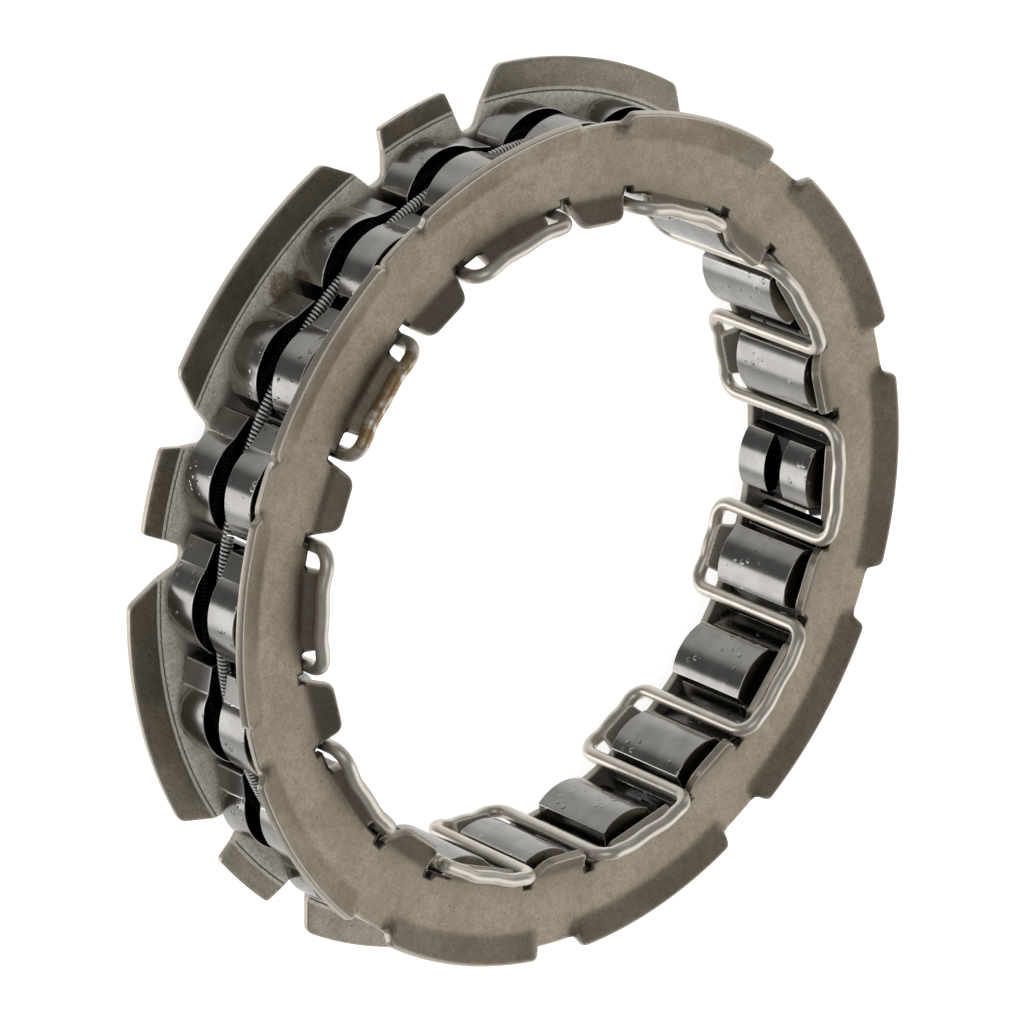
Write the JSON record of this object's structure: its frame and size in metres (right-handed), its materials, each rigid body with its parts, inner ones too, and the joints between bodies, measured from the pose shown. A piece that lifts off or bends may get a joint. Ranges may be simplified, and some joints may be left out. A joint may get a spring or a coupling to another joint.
{
  "type": "sprag clutch",
  "caption": "One-way sprag clutch cage: a ring of sprags between two pressed side plates, spaced by a zigzag wire and tipped by a garter spring.",
  "frame": {"origin": "centre of the ring, on its axis, half-way between the outermost points of the wire's runs", "axes": "+Z along the clutch's axis towards the front side plate, which has the smaller rim; +X through the middle of sprag_01"},
  "size_m": [0.081, 0.081, 0.0155],
  "materials": {
    "plate_steel": "satin",
    "wire_steel": "bright drawn",
    "spring_steel": "bright drawn",
    "sprag_steel": "polished"
  },
  "bodies": {
    "cage": {"front_side_plate": "plate_steel", "rear_side_plate": "plate_steel", "retaining_wire": "wire_steel", "garter_spring": "spring_steel"},
    "sprag_01": {"sprag_01": "sprag_steel"},
    "sprag_02": {"sprag_02": "sprag_steel"},
    "sprag_03": {"sprag_03": "sprag_steel"},
    "sprag_04": {"sprag_04": "sprag_steel"},
    "sprag_05": {"sprag_05": "sprag_steel"},
    "sprag_06": {"sprag_06": "sprag_steel"},
    "sprag_07": {"sprag_07": "sprag_steel"},
    "sprag_08": {"sprag_08": "sprag_steel"},
    "sprag_09": {"sprag_09": "sprag_steel"},
    "sprag_10": {"sprag_10": "sprag_steel"},
    "sprag_11": {"sprag_11": "sprag_steel"},
    "sprag_12": {"sprag_12": "sprag_steel"},
    "sprag_13": {"sprag_13": "sprag_steel"},
    "sprag_14": {"sprag_14": "sprag_steel"},
    "sprag_15": {"sprag_15": "sprag_steel"},
    "sprag_16": {"sprag_16": "sprag_steel"},
    "sprag_17": {"sprag_17": "sprag_steel"},
    "sprag_18": {"sprag_18": "sprag_steel"},
    "sprag_19": {"sprag_19": "sprag_steel"},
    "sprag_20": {"sprag_20": "sprag_steel"}
  },
  "joints": [
    {"name": "sprag_01_tilt", "type": "hinge", "parent": "cage", "child": "sprag_01", "pos_m": [0.033, 0, 0], "axis": [0, 0, 1], "range_deg": [-2, 8], "stiffness_Nm_per_rad": 0.01},
    {"name": "sprag_02_tilt", "type": "hinge", "parent": "cage", "child": "sprag_02", "pos_m": [0.03139, 0.0102, 0], "axis": [0, 0, 1], "range_deg": [-2, 8], "stiffness_Nm_per_rad": 0.01},
    {"name": "sprag_03_tilt", "type": "hinge", "parent": "cage", "child": "sprag_03", "pos_m": [0.0267, 0.0194, 0], "axis": [0, 0, 1], "range_deg": [-2, 8], "stiffness_Nm_per_rad": 0.01},
    {"name": "sprag_04_tilt", "type": "hinge", "parent": "cage", "child": "sprag_04", "pos_m": [0.0194, 0.0267, 0], "axis": [0, 0, 1], "range_deg": [-2, 8], "stiffness_Nm_per_rad": 0.01},
    {"name": "sprag_05_tilt", "type": "hinge", "parent": "cage", "child": "sprag_05", "pos_m": [0.0102, 0.03139, 0], "axis": [0, 0, 1], "range_deg": [-2, 8], "stiffness_Nm_per_rad": 0.01},
    {"name": "sprag_06_tilt", "type": "hinge", "parent": "cage", "child": "sprag_06", "pos_m": [0, 0.033, 0], "axis": [0, 0, 1], "range_deg": [-2, 8], "stiffness_Nm_per_rad": 0.01},
    {"name": "sprag_07_tilt", "type": "hinge", "parent": "cage", "child": "sprag_07", "pos_m": [-0.0102, 0.03139, 0], "axis": [0, 0, 1], "range_deg": [-2, 8], "stiffness_Nm_per_rad": 0.01},
    {"name": "sprag_08_tilt", "type": "hinge", "parent": "cage", "child": "sprag_08", "pos_m": [-0.0194, 0.0267, 0], "axis": [0, 0, 1], "range_deg": [-2, 8], "stiffness_Nm_per_rad": 0.01},
    {"name": "sprag_09_tilt", "type": "hinge", "parent": "cage", "child": "sprag_09", "pos_m": [-0.0267, 0.0194, 0], "axis": [0, 0, 1], "range_deg": [-2, 8], "stiffness_Nm_per_rad": 0.01},
    {"name": "sprag_10_tilt", "type": "hinge", "parent": "cage", "child": "sprag_10", "pos_m": [-0.03139, 0.0102, 0], "axis": [0, 0, 1], "range_deg": [-2, 8], "stiffness_Nm_per_rad": 0.01},
    {"name": "sprag_11_tilt", "type": "hinge", "parent": "cage", "child": "sprag_11", "pos_m": [-0.033, 0, 0], "axis": [0, 0, 1], "range_deg": [-2, 8], "stiffness_Nm_per_rad": 0.01},
    {"name": "sprag_12_tilt", "type": "hinge", "parent": "cage", "child": "sprag_12", "pos_m": [-0.03139, -0.0102, 0], "axis": [0, 0, 1], "range_deg": [-2, 8], "stiffness_Nm_per_rad": 0.01},
    {"name": "sprag_13_tilt", "type": "hinge", "parent": "cage", "child": "sprag_13", "pos_m": [-0.0267, -0.0194, 0], "axis": [0, 0, 1], "range_deg": [-2, 8], "stiffness_Nm_per_rad": 0.01},
    {"name": "sprag_14_tilt", "type": "hinge", "parent": "cage", "child": "sprag_14", "pos_m": [-0.0194, -0.0267, 0], "axis": [0, 0, 1], "range_deg": [-2, 8], "stiffness_Nm_per_rad": 0.01},
    {"name": "sprag_15_tilt", "type": "hinge", "parent": "cage", "child": "sprag_15", "pos_m": [-0.0102, -0.03139, 0], "axis": [0, 0, 1], "range_deg": [-2, 8], "stiffness_Nm_per_rad": 0.01},
    {"name": "sprag_16_tilt", "type": "hinge", "parent": "cage", "child": "sprag_16", "pos_m": [0, -0.033, 0], "axis": [0, 0, 1], "range_deg": [-2, 8], "stiffness_Nm_per_rad": 0.01},
    {"name": "sprag_17_tilt", "type": "hinge", "parent": "cage", "child": "sprag_17", "pos_m": [0.0102, -0.03139, 0], "axis": [0, 0, 1], "range_deg": [-2, 8], "stiffness_Nm_per_rad": 0.01},
    {"name": "sprag_18_tilt", "type": "hinge", "parent": "cage", "child": "sprag_18", "pos_m": [0.0194, -0.0267, 0], "axis": [0, 0, 1], "range_deg": [-2, 8], "stiffness_Nm_per_rad": 0.01},
    {"name": "sprag_19_tilt", "type": "hinge", "parent": "cage", "child": "sprag_19", "pos_m": [0.0267, -0.0194, 0], "axis": [0, 0, 1], "range_deg": [-2, 8], "stiffness_Nm_per_rad": 0.01},
    {"name": "sprag_20_tilt", "type": "hinge", "parent": "cage", "child": "sprag_20", "pos_m": [0.03139, -0.0102, 0], "axis": [0, 0, 1], "range_deg": [-2, 8], "stiffness_Nm_per_rad": 0.01}
  ],
  "couplings": [
    {"joint": "sprag_02_tilt", "follows": "sprag_01_tilt", "ratio": 1},
    {"joint": "sprag_03_tilt", "follows": "sprag_01_tilt", "ratio": 1},
    {"joint": "sprag_04_tilt", "follows": "sprag_01_tilt", "ratio": 1},
    {"joint": "sprag_05_tilt", "follows": "sprag_01_tilt", "ratio": 1},
    {"joint": "sprag_06_tilt", "follows": "sprag_01_tilt", "ratio": 1},
    {"joint": "sprag_07_tilt", "follows": "sprag_01_tilt", "ratio": 1},
    {"joint": "sprag_08_tilt", "follows": "sprag_01_tilt", "ratio": 1},
    {"joint": "sprag_09_tilt", "follows": "sprag_01_tilt", "ratio": 1},
    {"joint": "sprag_10_tilt", "follows": "sprag_01_tilt", "ratio": 1},
    {"joint": "sprag_11_tilt", "follows": "sprag_01_tilt", "ratio": 1},
    {"joint": "sprag_12_tilt", "follows": "sprag_01_tilt", "ratio": 1},
    {"joint": "sprag_13_tilt", "follows": "sprag_01_tilt", "ratio": 1},
    {"joint": "sprag_14_tilt", "follows": "sprag_01_tilt", "ratio": 1},
    {"joint": "sprag_15_tilt", "follows": "sprag_01_tilt", "ratio": 1},
    {"joint": "sprag_16_tilt", "follows": "sprag_01_tilt", "ratio": 1},
    {"joint": "sprag_17_tilt", "follows": "sprag_01_tilt", "ratio": 1},
    {"joint": "sprag_18_tilt", "follows": "sprag_01_tilt", "ratio": 1},
    {"joint": "sprag_19_tilt", "follows": "sprag_01_tilt", "ratio": 1},
    {"joint": "sprag_20_tilt", "follows": "sprag_01_tilt", "ratio": 1}
  ]
}
